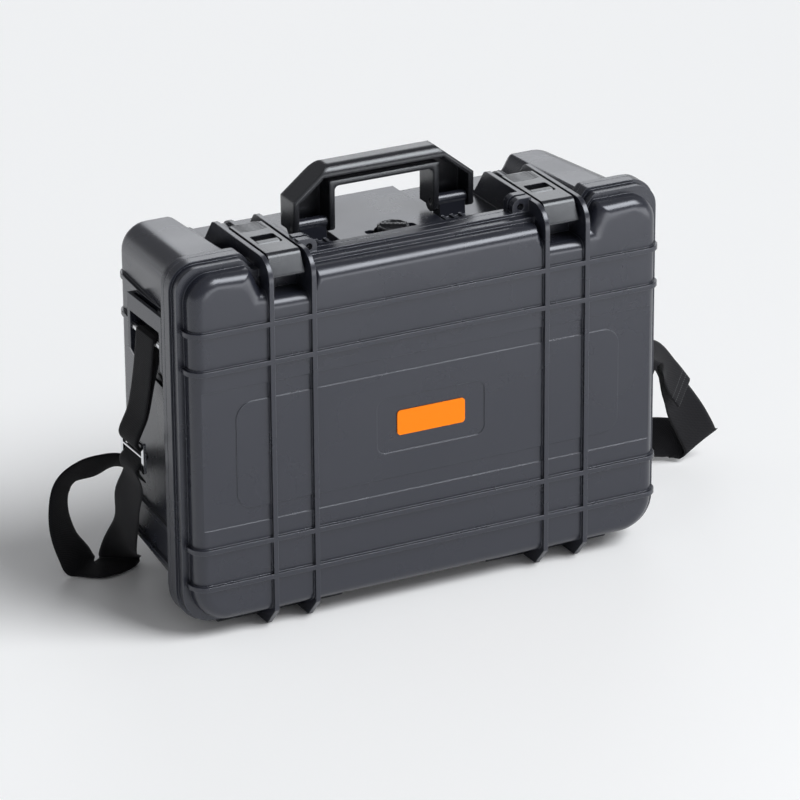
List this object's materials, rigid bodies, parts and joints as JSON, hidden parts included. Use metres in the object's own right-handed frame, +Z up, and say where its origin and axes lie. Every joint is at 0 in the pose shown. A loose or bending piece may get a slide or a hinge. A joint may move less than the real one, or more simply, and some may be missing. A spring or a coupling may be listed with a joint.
{
  "type": "laptop hard case",
  "caption": "Rugged hard-shell laptop case with two lever latches, a folding carry handle, a hinged lid, a purge valve, foam lining and a shoulder strap.",
  "frame": {"origin": "on the floor under the middle of the parting plane between lid and body, with the case standing on its hinge side", "axes": "+X to the right along the width seen from the lid, +Y from the lid to the back, +Z up to the carry handle"},
  "size_m": [0.7854, 0.2606, 0.449],
  "materials": {
    "shell_plastic": "finely textured dark grey moulding",
    "latch_plastic": "smoother dark grey moulding",
    "label_plate": "plain orange plate",
    "seal_rubber": "soft black seal",
    "steel_pin": "plain turned steel",
    "bright_steel": "bright plated steel",
    "webbing": "woven black webbing",
    "foam": "open-cell grey foam"
  },
  "bodies": {
    "base": {"body_shell": "shell_plastic", "hinge_pin_left": "steel_pin", "hinge_pin_right": "steel_pin", "handle_pin_left": "steel_pin", "handle_pin_right": "steel_pin", "valve_stem": "latch_plastic", "valve_seal": "seal_rubber", "valve_nut": "latch_plastic", "strap_pin_left": "steel_pin", "strap_pin_right": "steel_pin", "strap_slide_left": "bright_steel", "strap_slide_right": "bright_steel", "shoulder_strap": "webbing", "base_pad": "foam", "base_foam": "foam"},
    "lid": {"lid_shell": "shell_plastic", "lid_gasket": "seal_rubber", "label_plate": "label_plate", "latch_pin_left": "steel_pin", "latch_pin_right": "steel_pin", "lid_foam": "foam"},
    "lever_left": {"latch_lever_left": "latch_plastic", "claw_pin_left": "steel_pin"},
    "lever_right": {"latch_lever_right": "latch_plastic", "claw_pin_right": "steel_pin"},
    "claw_left": {"latch_claw_left": "latch_plastic"},
    "claw_right": {"latch_claw_right": "latch_plastic"},
    "carry_handle": {"handle": "shell_plastic"},
    "knob": {"valve_knob": "latch_plastic"}
  },
  "joints": [
    {"name": "lid_hinge", "type": "hinge", "parent": "base", "child": "lid", "pos_m": [0, 0, 0.0075], "axis": [1, 0, 0], "range_deg": [0, 105]},
    {"name": "lever_left_pivot", "type": "hinge", "parent": "lid", "child": "lever_left", "pos_m": [-0.1565, -0.022, 0.3773], "axis": [1, 0, 0], "range_deg": [0, 90]},
    {"name": "lever_right_pivot", "type": "hinge", "parent": "lid", "child": "lever_right", "pos_m": [0.1565, -0.022, 0.3773], "axis": [1, 0, 0], "range_deg": [0, 90]},
    {"name": "claw_left_pivot", "type": "hinge", "parent": "lever_left", "child": "claw_left", "pos_m": [-0.1565, 0.004, 0.3935], "axis": [1, 0, 0], "range_deg": [-50, 0]},
    {"name": "claw_right_pivot", "type": "hinge", "parent": "lever_right", "child": "claw_right", "pos_m": [0.1565, 0.004, 0.3935], "axis": [1, 0, 0], "range_deg": [-50, 0]},
    {"name": "handle_fold", "type": "hinge", "parent": "base", "child": "carry_handle", "pos_m": [0, 0.068, 0.388], "axis": [1, 0, 0], "range_deg": [0, 78]},
    {"name": "valve_turn", "type": "hinge", "parent": "base", "child": "knob", "pos_m": [0, 0.04, 0.375], "axis": [0, 0, 1], "range_deg": [0, 270]}
  ]
}
